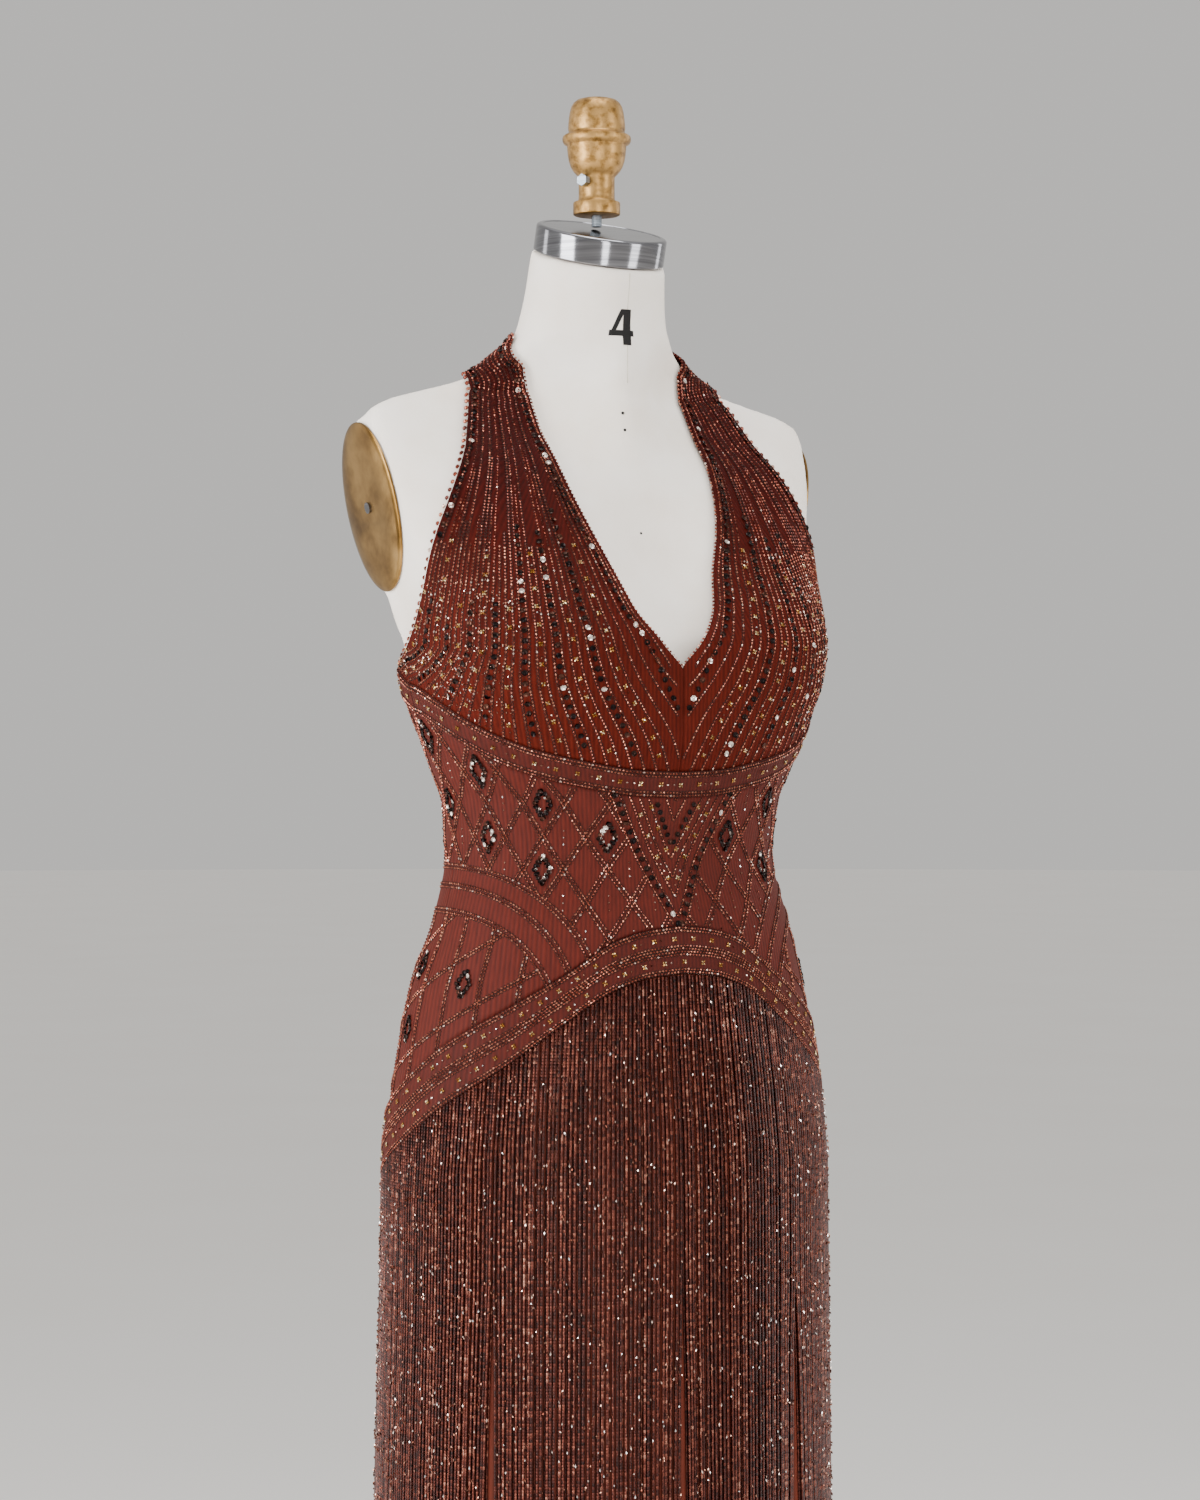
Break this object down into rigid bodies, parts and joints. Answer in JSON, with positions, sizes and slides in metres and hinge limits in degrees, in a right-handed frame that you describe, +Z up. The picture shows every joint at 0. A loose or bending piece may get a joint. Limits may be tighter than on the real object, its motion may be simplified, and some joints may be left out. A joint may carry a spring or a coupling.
{
  "type": "mermaid evening gown on a dress form",
  "caption": "Rust halter evening gown with a beaded bodice, lattice midriff and long copper bead fringe, worn by an off-white limbless dress form on a round stand.",
  "frame": {"origin": "on the floor, at the centre of the stand base's underside, below the pole", "axes": "+Z up, -Y out of the gown's front, +X to the right seen from the front"},
  "size_m": [0.6078, 0.5458, 1.6144],
  "materials": {
    "cloth": "crinkled rust georgette with rows of seed beads",
    "band": "rust georgette covered with beads",
    "fringe": "strings of copper-lined glass beads",
    "form_cover": "matt off-white cover",
    "brass": "brushed",
    "steel": "polished",
    "gilt_wood": "antique gold paint on turned wood",
    "iron": "black enamel"
  },
  "bodies": {
    "root": {"bodice_panel_right": "cloth", "bodice_panel_left": "cloth", "bust_band_front": "band", "bust_band_back_right": "band", "bust_band_back_left": "band", "midriff_front": "cloth", "midriff_back_right": "cloth", "midriff_back_left": "cloth", "hip_band_front": "band", "hip_band_back_right": "band", "hip_band_back_left": "band", "skirt_front": "cloth", "skirt_back": "cloth", "fringe_front_right": "fringe", "fringe_front_left": "fringe", "fringe_back_right": "fringe", "fringe_back_left": "fringe", "nape_button_1": "band", "nape_button_2": "band", "zip_pull": "brass", "form_torso": "form_cover", "arm_plate_right": "brass", "arm_plate_left": "brass", "arm_plate_screw_right": "steel", "arm_plate_screw_left": "steel", "neck_cap": "steel", "finial_rod": "steel", "finial": "gilt_wood", "finial_screw": "steel", "stand_pole": "steel", "stand_base": "iron"}
  },
  "joints": []
}
